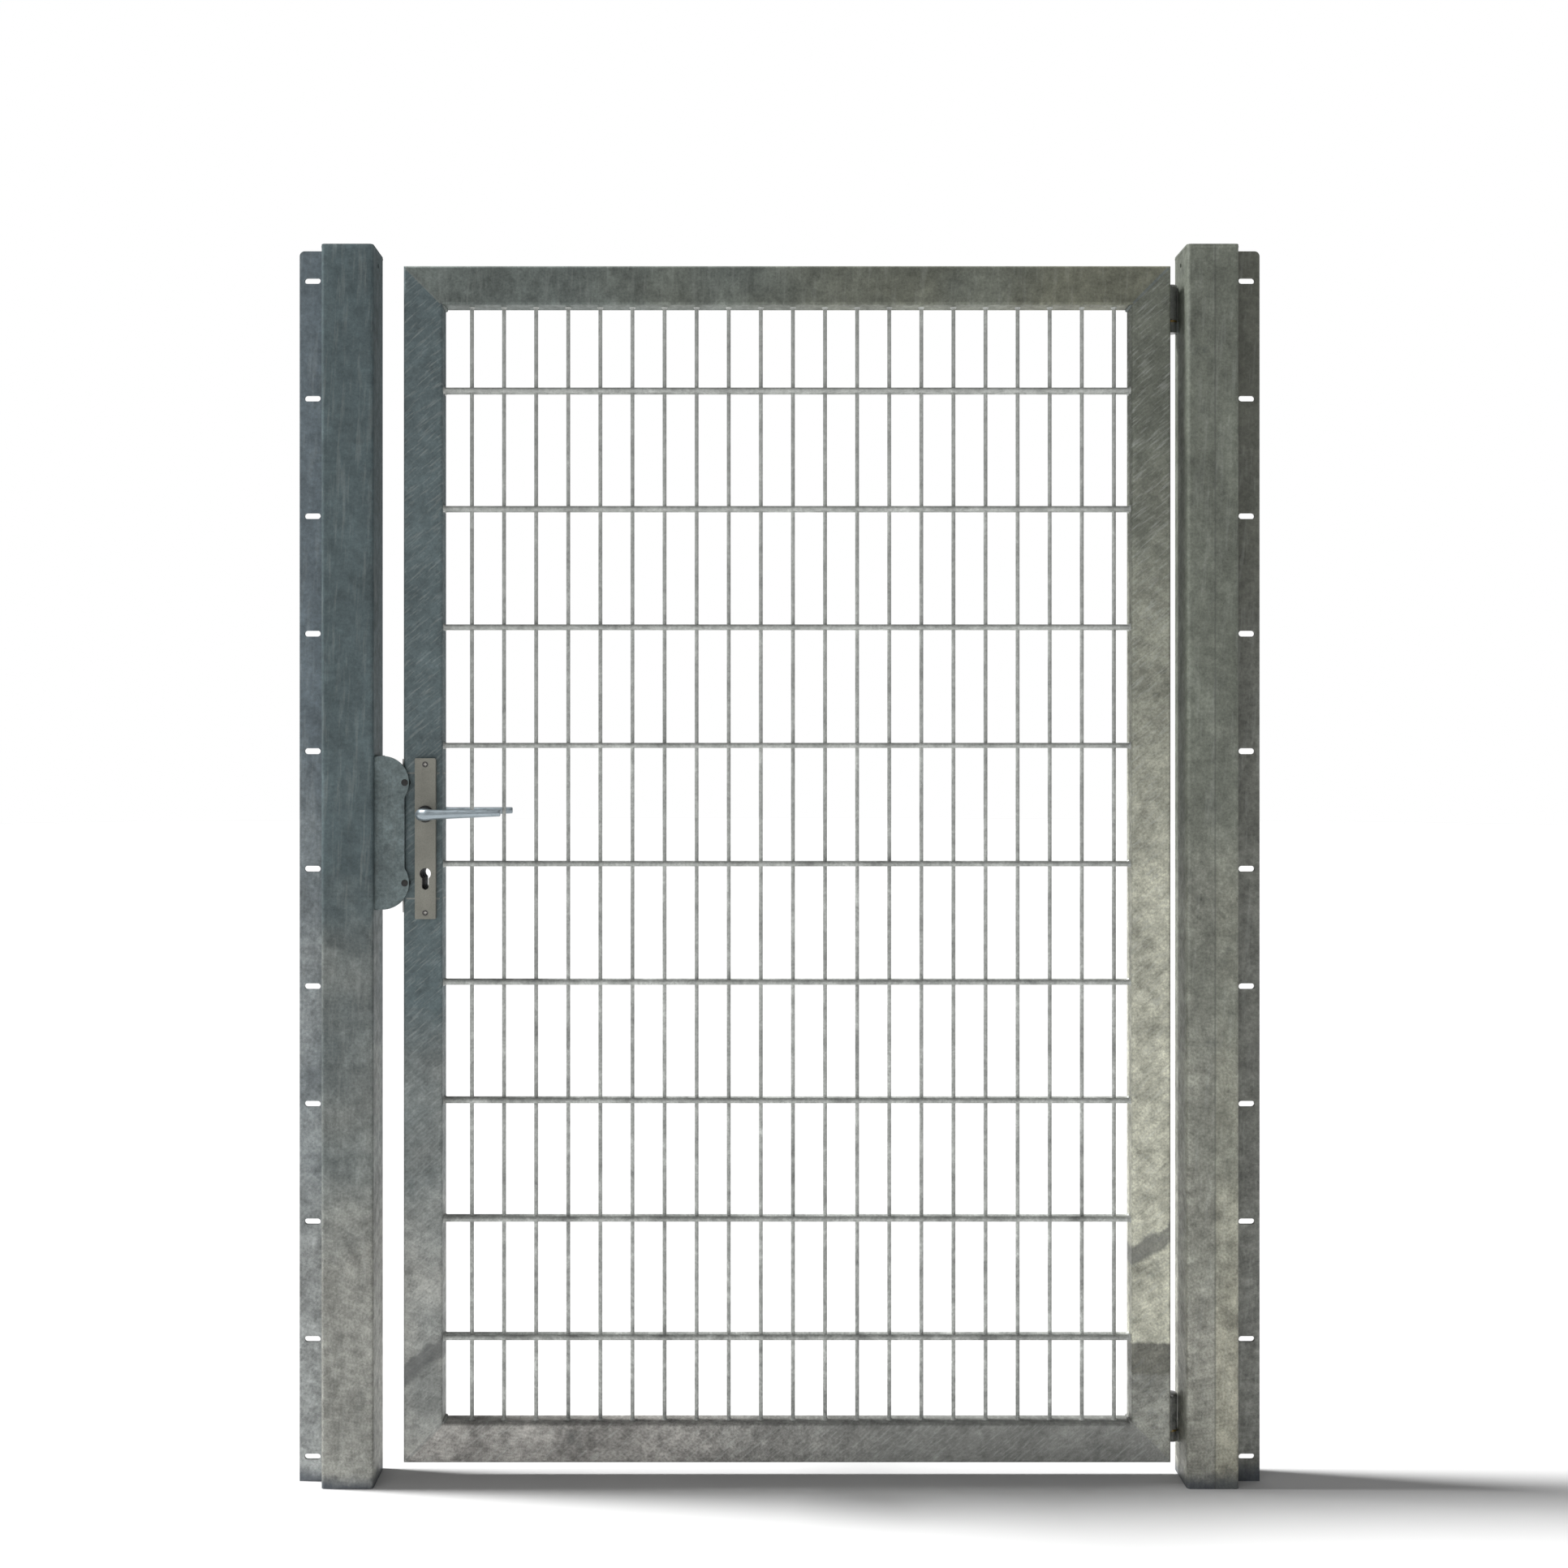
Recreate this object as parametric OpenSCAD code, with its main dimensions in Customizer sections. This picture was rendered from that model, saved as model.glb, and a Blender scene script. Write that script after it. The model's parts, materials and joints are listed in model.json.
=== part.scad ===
// Galvanised garden gate: one leaf with a welded rod-mat infill, hung between
// two square posts that carry slotted strips for the fence panels.
// X runs across the passage, Y through it, Z up. The origin is on the ground
// at the middle of the passage, in the middle plane of the leaf.

/* [Posts] */
// Clear width between the two posts
clear_w = 1250; // [1000:5:1600]
// Side of the square posts
post_w = 80; // [76:1:100]
// Wall of the posts
post_wall = 3; // [2:0.5:5]
// Height of the post tubes above the ground
post_h = 1909; // [1600:1:2400]
// Thickness of the welded post caps
cap_t = 3; // [2:0.5:6]
// Radius of the vent holes under the caps
vent_r = 4; // [2:0.5:6]
// Distance of the vent holes from the top of the tube
vent_down = 20; // [12:1:60]

/* [Fixing strips] */
// Width of the slotted strips
strip_w = 40; // [34:1:60]
// Thickness of the slotted strips
strip_t = 5; // [4:0.5:8]
// How far the front of a strip stands in front of the leaf's middle plane
strip_front = 10; // [6:1:20]
// Length of a slot over its round ends
slot_len = 25; // [16:1:30]
// Width of a slot
slot_w = 9; // [6:0.5:12]
// Height of the lowest slot
slot_first = 38; // [25:1:80]
// Distance from one slot to the next
slot_pitch = 182.5; // [120:0.5:260]

/* [Leaf frame] */
// Height of the leaf
leaf_h = 1852; // [1500:1:2300]
// Gap under the leaf
leaf_gap = 32; // [20:1:80]
// Gap between the leaf and the latch post
latch_gap = 43; // [38:1:60]
// Gap between the leaf and the hinge post
hinge_gap = 20; // [19:0.5:24]
// Width of the frame tube as seen from the front
tube_w = 60; // [60:1:80]
// Depth of the frame tube
tube_d = 40; // [36:1:50]
// Wall of the frame tube
tube_wall = 2; // [1.5:0.5:3]
// Corner radius of the frame tube
tube_r = 4; // [3:0.5:5]

/* [Rod mat] */
// Diameter of the upright rods
upright_d = 6; // [4:0.5:8]
// Diameter of the cross rods, which lie in pairs
cross_d = 8; // [5:0.5:10]
// Distance from one upright rod to the next
upright_pitch = 50; // [40:1:80]
// Distance from the latch stile to the first upright rod
upright_first = 43; // [20:1:60]
// Distance from one pair of cross rods to the next
cross_pitch = 184; // [120:1:260]
// Least distance from a pair of cross rods to the rails
cross_margin = 90; // [40:1:120]

/* [Hinges] */
// Distance from the end of the leaf to the middle of a hinge
hinge_inset = 58; // [45:1:200]
// Outer radius of the knuckles
knuckle_r = 9; // [8.5:0.1:9.4]
// Radius of the hinge pins
pin_r = 6; // [4:0.1:6]
// Wall of the bushes
bush_wall = 1.2; // [0.8:0.1:1.6]
// Height of the knuckle on the leaf
leaf_knuckle_h = 51.5; // [30:0.5:60]
// Height of the lug on the post
post_lug_h = 16; // [10:0.5:30]
// Thickness of the thrust washers
washer_t = 3; // [1:0.5:5]
// Thickness of the pin heads
pin_head_t = 4; // [2:0.5:6]
// Running clearance between a pin and its bush
pin_fit = 0.05; // [0.03:0.01:0.09]

/* [Lock] */
// Height of the lever spindle
spindle_z = 1036; // [900:1:1150]
// Distance from the leaf's edge to the spindle
backset = 35; // [35:0.5:36]
// Distance from the spindle down to the key cylinder
cylinder_down = 92; // [85:1:95]
// Depth of the lock case
case_depth = 55; // [55:0.5:56]
// Height of the lock case
case_h = 184; // [180:1:200]
// Thickness of the lock case over its plates
case_t = 16; // [15:0.5:18]
// How far the welded-in lock box runs past the lock case at each end
box_over = 5; // [4:0.5:8]
// Sheet thickness of the lock case
case_wall = 1.5; // [1:0.1:2]
// Length of the forend
forend_h = 238; // [225:1:260]
// Width of the forend
forend_w = 24; // [20:1:28]
// Thickness of the forend
forend_t = 3; // [2:0.5:3.5]
// How far the latch stands out of the forend
latch_out = 13; // [10:0.5:15]
// Height of the latch head
latch_h = 24; // [18:1:26]
// Thickness of the latch head
latch_t = 12; // [8:0.5:12]
// Throw of the dead bolt
bolt_throw = 20; // [10:1:20]
// Height of the dead bolt
bolt_h = 30; // [20:1:34]
// Thickness of the dead bolt
bolt_t = 10; // [8:0.5:12]

/* [Handle plates and levers] */
// Width of the handle plates
plate_w = 32; // [28:1:34]
// Height of the handle plates
plate_h = 248; // [240:1:270]
// Thickness of the handle plates
plate_t = 8; // [7:0.5:10]
// Sheet thickness of the handle plates
plate_skin = 2.5; // [1.5:0.1:3]
// Distance from the end of a handle plate to its screw
plate_screw_in = 9.5; // [8:0.5:12]
// Length of a lever from its spindle to its tip
lever_len = 122; // [100:1:140]
// Distance from the handle plate to the middle of the lever's grip
lever_out = 45; // [35:1:60]
// Radius of the grip at the elbow
grip_r = 7.6; // [6:0.1:9]
// Radius of the grip at its tip
tip_r = 5; // [4:0.1:6]
// Side of the square spindle
spindle_s = 8; // [7:0.5:9]

/* [Keep] */
// Sheet thickness of the folded stop bracket
keep_t = 5; // [4:0.5:6]
// Height of the stop bracket
keep_h = 239; // [225:1:260]
// Radius of the round lobes that carry the buffers
lobe_r = 41; // [38:0.5:43]
// Distance between the two buffers
buffer_pitch = 155; // [130:1:170]
// How far a buffer's middle lies behind the leaf's edge
buffer_in = 3.5; // [2:0.5:8]
// Radius of a buffer's stem
buffer_r = 4.75; // [3:0.25:6]
// Room between the stop bracket and the leaf
stop_room = 4; // [3:0.5:6]
// Sheet thickness of the strike box
strike_t = 3; // [2:0.5:3]
// Gap between the strike box and the forend
strike_gap = 4; // [3:0.5:6]

/* [Hidden] */
$fn = 64;

// General small values
eps = 0.5;          // how far a cutting tool runs past a face
fit = 0.3;          // room round a part that is only pushed in
run = 0.1;          // radial running clearance of the levers and the follower
zinc = [0.50, 0.53, 0.52];
bright_zinc = [0.62, 0.65, 0.65];
dark_steel = [0.35, 0.35, 0.36];
alu = [0.68, 0.66, 0.63];
rubber = [0.06, 0.06, 0.06];
brass = [0.72, 0.58, 0.30];

// Posts
half_clear = clear_w / 2;
post_r = 2 * post_wall;
post_x = half_clear + post_w / 2;
strip_y = -strip_front + strip_t / 2;
slot_x = half_clear + post_w + strip_w / 2;
slot_n = floor((post_h - 2 * slot_first) / slot_pitch + 0.001) + 1;
strip_corner = 8;
weld_leg = 4;
weld_len = 40;

// Leaf
leaf_l = -half_clear + latch_gap;
leaf_r = half_clear - hinge_gap;
leaf_w = leaf_r - leaf_l;
leaf_top = leaf_gap + leaf_h;
open_l = leaf_l + tube_w;
open_r = leaf_r - tube_w;
open_b = leaf_gap + tube_w;
open_t = leaf_top - tube_w;
face = tube_d / 2;
upright_n = floor((open_r - open_l - upright_first - upright_d) / upright_pitch) + 1;
cross_n = floor((open_t - open_b - 2 * cross_margin) / cross_pitch) + 1;
cross_first = (open_b + open_t - (cross_n - 1) * cross_pitch) / 2;
cross_y = (upright_d + cross_d) / 2;

// Hinges
axis_x = half_clear - hinge_gap / 2;
axis_y = face;
knuckle_gap = 0.2;
bush_r = pin_r + pin_fit + bush_wall;
hinge_total = post_lug_h + washer_t + leaf_knuckle_h + 2 * knuckle_gap + pin_head_t;
upper_z = leaf_top - hinge_inset - hinge_total / 2;
lower_z = leaf_gap + hinge_inset - hinge_total / 2;
knuckle_foot = 12;

// Lock
lock_x = leaf_l + backset;
case_l = leaf_l;
case_r = leaf_l + case_depth;
case_mid = spindle_z - cylinder_down / 2 + 12;
case_b = case_mid - case_h / 2;
box_b = case_b - box_over;
box_t = case_b + case_h + box_over;
case_inner_t = case_t - 2 * case_wall;
forend_x = leaf_l - forend_t;
latch_z = spindle_z + 26;
latch_tip = forend_x - latch_out;
latch_back = case_l + 10;
bolt_z = spindle_z - 56;
bolt_len = 2 * bolt_throw;
hub_r = 11;
journal_r = 8;
arm_w = 5;
arm_len = 20;
hook_room = 0.3;
hook_t = 3;
tail_t = 6;
cyl_z = spindle_z - cylinder_down;
cyl_r = 8.5;
cyl_slot = 10;
cyl_drop = 24.5;
cyl_screw_r = 2.6;
cyl_screw_z = cyl_z - 18;
tail_h = 4;
spring_r = 3.2;
spring_wire = 0.6;
spring_turns = 9;
spring_z = latch_z + 7;
stud_r = 4;

// Handle plates and levers
plate_mid = spindle_z - 38;
plate_front = face + plate_t;
screw_z = [plate_mid - plate_h / 2 + plate_screw_in, plate_mid + plate_h / 2 - plate_screw_in];
screw_r = 2.5;
head_r = 4.7;
sink_h = 2.5;
base_t = 2;
neck_r = 9;
bush_flange_r = 13;
bush_flange_t = 1.2;
bush_sleeve_r = 11;
neck_flare = 10.4;
neck_gap = 0.3;
elbow_r = grip_r + 0.9;
grub_in = 10;
grub_len = 5;

// Keep
keep_mid = spindle_z - 29;
keep_x = -half_clear;
stop_back = -face - stop_room;
stop_front = stop_back - keep_t;
buffer_x = leaf_l + buffer_in;
lobe_x = buffer_x - lobe_r + 6.5;
strike_x = forend_x - strike_gap;
strike_depth = 16;
strike_h = 199;
keep_web = 50;
keep_bolt_r = 4;
keep_bolt_z = keep_h / 2 - 10;
keep_bolt_y = 9;

// ---- shapes used by several pieces ----

module rounded(w, d, r) {
    square([w - 2 * r, d], center = true);
    square([w, d - 2 * r], center = true);
    for (x = [-1, 1], y = [-1, 1])
        translate([x * (w / 2 - r), y * (d / 2 - r)]) circle(r);
}

module tube_section(w, d, wall, r) {
    difference() {
        rounded(w, d, r);
        rounded(w - 2 * wall, d - 2 * wall, max(r - wall, 0.8));
    }
}

// A drill along Y whose ends are at y0 and y1
module drill_y(r, y0, y1) {
    translate([0, y0, 0]) rotate([-90, 0, 0]) cylinder(h = y1 - y0, r = r);
}

// A drill along X whose ends are at x0 and x1
module drill_x(r, x0, x1) {
    translate([x0, 0, 0]) rotate([0, 90, 0]) cylinder(h = x1 - x0, r = r);
}

// The outline of a profile cylinder, grown by c
module key_outline(c) {
    circle(cyl_r + c);
    translate([-cyl_slot / 2 - c, -cyl_drop + cyl_slot / 2])
        square([cyl_slot + 2 * c, cyl_drop - cyl_slot / 2]);
    translate([0, -cyl_drop + cyl_slot / 2]) circle(cyl_slot / 2 + c);
}

module key_cut(c, y0, y1) {
    translate([lock_x, y1, cyl_z]) rotate([90, 0, 0])
        linear_extrude(y1 - y0) key_outline(c);
}

// ---- posts, caps and strips ----

module post(side) {
    color(zinc) difference() {
        translate([side * post_x, 0, 0])
            linear_extrude(post_h) tube_section(post_w, post_w, post_wall, post_r);
        translate([side * half_clear, 0, post_h - vent_down])
            drill_x(vent_r, -post_wall - eps, post_wall + eps);
        if (side < 0) bracket_holes(keep_x - post_wall - eps, keep_x + eps);
    }
}

module latch_post() { post(-1); }
module hinge_post() { post(1); }

module post_cap(side) {
    color(zinc) translate([side * post_x, 0, post_h])
        linear_extrude(cap_t) rounded(post_w, post_w, post_r);
}

module latch_post_cap() { post_cap(-1); }
module hinge_post_cap() { post_cap(1); }

// The strip stands on edge against the post; its outer top corner is round
module fixing_strip(side) {
    x0 = half_clear + post_w;
    mir = side < 0 ? 1 : 0;
    color(zinc) mirror([mir, 0, 0]) difference() {
        translate([0, strip_y + strip_t / 2, 0]) rotate([90, 0, 0]) linear_extrude(strip_t) {
            translate([x0, 0]) square([strip_w, post_h - strip_corner]);
            translate([x0, 0]) square([strip_w - strip_corner, post_h]);
            translate([x0 + strip_w - strip_corner, post_h - strip_corner]) circle(strip_corner);
        }
        for (i = [0 : slot_n - 1])
            translate([slot_x, 0, slot_first + i * slot_pitch]) slot_cut();
    }
}

module slot_cut() {
    run_len = slot_len - slot_w;
    for (x = [-1, 1])
        translate([x * run_len / 2, 0, 0])
            drill_y(slot_w / 2, strip_y - strip_t, strip_y + strip_t);
    translate([-run_len / 2, strip_y - strip_t, -slot_w / 2])
        cube([run_len, 2 * strip_t, slot_w]);
}

module latch_fixing_strip() { fixing_strip(-1); }
module hinge_fixing_strip() { fixing_strip(1); }

// Stitch welds in the corner behind each strip, one between every two slots
module strip_welds(side) {
    x0 = half_clear + post_w;
    mir = side < 0 ? 1 : 0;
    color(bright_zinc) mirror([mir, 0, 0])
        for (i = [0 : slot_n - 2])
            translate([x0, strip_y + strip_t / 2,
                       slot_first + (i + 0.5) * slot_pitch - weld_len / 2])
                linear_extrude(weld_len) polygon([[0, 0], [weld_leg, 0], [0, weld_leg]]);
}

module latch_strip_welds() { strip_welds(-1); }
module hinge_strip_welds() { strip_welds(1); }

// ---- keep on the latch post ----

module lobed_outline() {
    reach = buffer_x - 0.5 - keep_x;
    offset(r = -7) offset(delta = 7) intersection() {
        union() {
            translate([keep_x, -buffer_pitch / 2]) square([reach, buffer_pitch]);
            for (s = [-1, 1])
                translate([lobe_x, s * buffer_pitch / 2]) circle(lobe_r);
        }
        translate([keep_x, -keep_h / 2]) square([2 * lobe_r + post_w, keep_h]);
    }
}

// Holes in the web of the stop bracket and in the post wall behind it
module bracket_holes(x0, x1) {
    for (z = [-1, 1], y = [-1, 1])
        translate([0, y * keep_bolt_y, keep_mid + z * keep_bolt_z])
            drill_x(keep_bolt_r + run, x0, x1);
}

module stop_bracket() {
    color(zinc) difference() {
        union() {
            translate([keep_x, stop_back, keep_mid - keep_h / 2])
                cube([keep_t, keep_web, keep_h]);
            translate([0, stop_back, keep_mid]) rotate([90, 0, 0])
                linear_extrude(keep_t) lobed_outline();
        }
        bracket_holes(keep_x - eps, keep_x + keep_t + eps);
        for (s = [-1, 1])
            translate([buffer_x, 0, keep_mid + s * buffer_pitch / 2])
                drill_y(buffer_r + run, stop_front - eps, stop_back + eps);
    }
}

module strike_box() {
    x0 = keep_x + keep_t;
    color(bright_zinc) difference() {
        translate([x0, -strike_depth, keep_mid - strike_h / 2])
            cube([strike_x - x0, 2 * strike_depth, strike_h]);
        translate([x0 - eps, -strike_depth + strike_t, keep_mid - strike_h / 2 - eps])
            cube([strike_x - x0 - strike_t + eps, 2 * (strike_depth - strike_t), strike_h + 2 * eps]);
        strike_window(latch_z, latch_h, latch_t);
        strike_window(bolt_z, bolt_h, bolt_t);
    }
}

module strike_window(z, h, t) {
    room = 2;
    translate([strike_x - strike_t - eps, -t / 2 - room / 2, z - h / 2 - room])
        cube([strike_t + 2 * eps, t + room, h + 2 * room]);
}

module stop_bracket_bolts() {
    head_h = 5.3;
    hex_r = 7.5;
    shank = 20;
    color(dark_steel) for (z = [-1, 1], y = [-1, 1])
        translate([keep_x + keep_t, y * keep_bolt_y, keep_mid + z * keep_bolt_z]) {
            drill_x(keep_bolt_r, -shank, 1);
            rotate([0, 90, 0]) cylinder(h = head_h, r = hex_r, $fn = 6);
        }
}

// Push-in buffers: a head behind the bracket, a stem and a button in front
module rubber_buffers() {
    head_t = stop_room - fit;
    buffer_head_r = 7.5;
    color(rubber) for (s = [-1, 1])
        translate([buffer_x, 0, keep_mid + s * buffer_pitch / 2]) {
            drill_y(buffer_r, stop_front - 0.6, stop_back + 1);
            drill_y(buffer_head_r, stop_back, stop_back + head_t);
        }
}

// ---- hinges ----

module hinge_lug(z) {
    color(bright_zinc) difference() {
        union() {
            translate([axis_x, axis_y, z]) cylinder(h = post_lug_h, r = knuckle_r);
            translate([axis_x, axis_y - knuckle_foot / 2, z])
                cube([half_clear - axis_x, knuckle_foot, post_lug_h]);
        }
        translate([axis_x, axis_y, z - eps])
            cylinder(h = post_lug_h + 2 * eps, r = pin_r + 0.02);
    }
}

module upper_hinge_lug() { hinge_lug(upper_z); }
module lower_hinge_lug() { hinge_lug(lower_z); }

module hinge_pin(z) {
    body_h = hinge_total - pin_head_t;
    color(dark_steel) translate([axis_x, axis_y, z]) {
        cylinder(h = body_h + 1, r = pin_r);
        translate([0, 0, body_h]) cylinder(h = pin_head_t - 1, r = knuckle_r);
        translate([0, 0, hinge_total - 1]) cylinder(h = 1, r1 = knuckle_r, r2 = knuckle_r - 1);
    }
}

module upper_hinge_pin() { hinge_pin(upper_z); }
module lower_hinge_pin() { hinge_pin(lower_z); }

module hinge_washers() {
    color(brass) for (z = [lower_z, upper_z])
        translate([axis_x, axis_y, z + post_lug_h]) difference() {
            cylinder(h = washer_t, r = knuckle_r);
            translate([0, 0, -eps]) cylinder(h = washer_t + 2 * eps, r = pin_r + run);
        }
}

module knuckle(z) {
    z0 = z + post_lug_h + washer_t + knuckle_gap;
    color(bright_zinc) difference() {
        union() {
            translate([axis_x, axis_y, z0]) cylinder(h = leaf_knuckle_h, r = knuckle_r);
            translate([leaf_r, axis_y - tube_r - knuckle_foot, z0])
                cube([hinge_gap / 2 - 2, knuckle_foot, leaf_knuckle_h]);
        }
        translate([axis_x, axis_y, z0 - eps])
            cylinder(h = leaf_knuckle_h + 2 * eps, r = bush_r);
    }
}

module upper_knuckle() { knuckle(upper_z); }
module lower_knuckle() { knuckle(lower_z); }

module hinge_bushes() {
    color(brass) for (z = [lower_z, upper_z])
        translate([axis_x, axis_y, z + post_lug_h + washer_t + knuckle_gap]) difference() {
            cylinder(h = leaf_knuckle_h, r = bush_r);
            translate([0, 0, -eps]) cylinder(h = leaf_knuckle_h + 2 * eps, r = pin_r + pin_fit);
        }
}

// ---- leaf frame: four mitred tubes ----

// A tube along Z whose outer face is at x = 0 and whose ends are cut at 45 degrees
module mitred_tube(len) {
    difference() {
        translate([tube_w / 2, 0, 0])
            linear_extrude(len) tube_section(tube_w, tube_d, tube_wall, tube_r);
        mitre_cut();
        translate([0, 0, len]) mirror([0, 0, 1]) mitre_cut();
    }
}

module mitre_cut() {
    reach = 2 * tube_w;
    translate([0, tube_d, 0]) rotate([90, 0, 0])
        linear_extrude(2 * tube_d) polygon([[-reach, -reach], [reach, -reach], [reach, reach]]);
}

module bottom_rail() {
    color(zinc) translate([leaf_r, 0, leaf_gap]) rotate([0, -90, 0]) mitred_tube(leaf_w);
}

module top_rail() {
    color(zinc) translate([leaf_l, 0, leaf_top]) rotate([0, 90, 0]) mitred_tube(leaf_w);
}

module hinge_stile() {
    color(zinc) translate([leaf_r, 0, leaf_gap]) mirror([1, 0, 0]) mitred_tube(leaf_h);
}

// The latch stile before it is parted, with all its lock and screw holes
module whole_latch_stile() {
    difference() {
        translate([leaf_l, 0, leaf_gap]) mitred_tube(leaf_h);
        translate([leaf_l - eps, -case_t / 2 - fit, case_b - fit])
            cube([tube_wall + 2 * eps, case_t + 2 * fit, case_h + 2 * fit]);
        translate([lock_x, 0, spindle_z]) drill_y(hub_r, -face - eps, face + eps);
        key_cut(1, -face - eps, face + eps);
        for (z = screw_z)
            translate([lock_x, 0, z]) drill_y(stud_r + run, -face - eps, face + eps);
        for (s = [-1, 1]) translate([leaf_l, 0, forend_screw_z(s)])
            drill_x(screw_r + run, -eps, tube_wall + eps);
    }
}

// The stile is parted above and below the lock, where the lock box is welded in
module latch_stile_between(z0, z1) {
    color(zinc) intersection() {
        whole_latch_stile();
        translate([leaf_l - eps, -tube_d, z0]) cube([tube_w + 2 * eps, 2 * tube_d, z1 - z0]);
    }
}

module lower_latch_stile() { latch_stile_between(leaf_gap - eps, box_b); }
module lock_box() { latch_stile_between(box_b, box_t); }
module upper_latch_stile() { latch_stile_between(box_t, leaf_top + eps); }

// ---- rod mat ----

module mat_upright_rods() {
    color(bright_zinc) for (i = [0 : upright_n - 1])
        translate([open_l + upright_first + i * upright_pitch, 0, open_b])
            cylinder(h = open_t - open_b, r = upright_d / 2);
}

module cross_rods(side) {
    color(bright_zinc) for (i = [0 : cross_n - 1])
        translate([0, side * cross_y, cross_first + i * cross_pitch])
            drill_x(cross_d / 2, open_l, open_r);
}

module mat_front_rods() { cross_rods(-1); }
module mat_rear_rods() { cross_rods(1); }

// ---- lock ----

function forend_screw_z(s) = case_mid + s * (forend_h / 2 - 12);

module lock_forend() {
    color(bright_zinc) difference() {
        translate([forend_x, -forend_w / 2, case_mid - forend_h / 2])
            cube([forend_t, forend_w, forend_h]);
        forend_window(latch_z, latch_h, latch_t);
        forend_window(bolt_z, bolt_h, bolt_t);
        for (s = [-1, 1]) translate([leaf_l, 0, forend_screw_z(s)]) {
            drill_x(screw_r + run, -forend_t - eps, eps);
            translate([-forend_t, 0, 0]) rotate([0, 90, 0])
                cylinder(h = 2, r1 = head_r, r2 = screw_r + run);
        }
        translate([leaf_l, 0, cyl_screw_z]) drill_x(cyl_screw_r, -forend_t - eps, eps);
    }
}

module forend_window(z, h, t) {
    translate([forend_x - eps, -t / 2 - fit, z - h / 2 - fit])
        cube([forend_t + case_wall + 2 * eps, t + 2 * fit, h + 2 * fit]);
}

module forend_screws() {
    color(dark_steel) for (s = [-1, 1]) translate([leaf_l, 0, forend_screw_z(s)]) {
        drill_x(screw_r, -forend_t + 1, tube_wall + 10);
        translate([-forend_t, 0, 0]) rotate([0, 90, 0])
            cylinder(h = 2, r1 = head_r - run, r2 = screw_r);
    }
}

// The case is a folded tray; the cover closes its front side
module lock_case() {
    color(dark_steel) difference() {
        translate([case_l, -case_t / 2 + case_wall, case_b])
            cube([case_depth, case_t - case_wall, case_h]);
        translate([case_l + case_wall, -case_t, case_b + case_wall])
            cube([case_depth - 2 * case_wall, case_t + case_t / 2 - case_wall, case_h - 2 * case_wall]);
        forend_window(latch_z, latch_h, latch_t);
        forend_window(bolt_z, bolt_h, bolt_t);
        translate([lock_x, 0, spindle_z]) drill_y(journal_r + run, 0, case_t);
        key_cut(0.3, 0, case_t);
        translate([case_l, 0, cyl_screw_z]) drill_x(cyl_screw_r, -eps, case_wall + eps);
    }
}

module lock_cover() {
    color(dark_steel) difference() {
        translate([case_l, -case_t / 2, case_b]) cube([case_depth, case_wall, case_h]);
        translate([lock_x, 0, spindle_z]) drill_y(journal_r + run, -case_t, 0);
        key_cut(0.3, -case_t, 0);
    }
}

module lock_follower() {
    half = case_inner_t / 2 - fit;
    color(brass) difference() {
        union() {
            translate([lock_x, 0, spindle_z]) drill_y(hub_r, -half, half);
            translate([lock_x, 0, spindle_z]) drill_y(journal_r, -case_t / 2, case_t / 2);
            translate([lock_x - arm_w / 2, -tail_t / 2, spindle_z])
                cube([arm_w, tail_t, arm_len]);
        }
        square_hole(case_t);
    }
}

module square_hole(len) {
    side = spindle_s + 2 * run;
    translate([lock_x - side / 2, -len, spindle_z - side / 2]) cube([side, 2 * len, side]);
}

module latch_bolt() {
    hook_x = lock_x + arm_w / 2 + hook_room;
    hook_z = spindle_z + hub_r + 1.5;
    tail_z = spindle_z + arm_len + 1.2;
    nose = 1.5;
    color(bright_zinc) {
        translate([0, 0, latch_z - latch_h / 2]) linear_extrude(latch_h)
            polygon([[latch_tip, latch_t / 2 - nose], [latch_tip + 2, latch_t / 2],
                     [latch_back, latch_t / 2], [latch_back, -latch_t / 2],
                     [forend_x - eps, -latch_t / 2], [latch_tip, latch_t / 2 - 2 * nose]]);
        translate([latch_back - 1, -tail_t / 2, tail_z])
            cube([hook_x + hook_t - latch_back + 1, tail_t, tail_h]);
        translate([hook_x, -tail_t / 2, hook_z])
            cube([hook_t, tail_t, tail_z + tail_h - hook_z]);
    }
}

// A coil of wire between the latch head and the far wall of the case
module latch_spring() {
    x0 = latch_back + spring_wire + 0.1;
    x1 = case_r - case_wall - spring_wire - 0.1;
    rings = 12 * spring_turns;
    sides = 8;
    function ring_at(i) = let (a = 360 * i / 12, t = i / rings)
        [for (k = [0 : sides - 1]) let (b = 360 * k / sides, r = spring_r + spring_wire * cos(b))
            [x0 + t * (x1 - x0) + spring_wire * sin(b), r * cos(a), spring_z + r * sin(a)]];
    points = [for (i = [0 : rings]) each ring_at(i)];
    wall = [for (i = [0 : rings - 1], k = [0 : sides - 1])
        let (n = (k + 1) % sides, a = i * sides, b = a + sides)
            each [[a + k, a + n, b + n], [a + k, b + n, b + k]]];
    ends = [[for (k = [sides - 1 : -1 : 0]) k], [for (k = [0 : sides - 1]) rings * sides + k]];
    color(bright_zinc) polyhedron(points = points, faces = concat(wall, ends));
}

module dead_bolt() {
    color(bright_zinc)
        translate([forend_x + eps, -bolt_t / 2, bolt_z - bolt_h / 2])
            cube([bolt_len, bolt_t, bolt_h]);
}

// ---- handle plates, drawn at the front and mirrored for the rear ----

module plate_outline(w, h, r) {
    translate([lock_x, plate_mid]) rounded(w, h, r);
}

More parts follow.
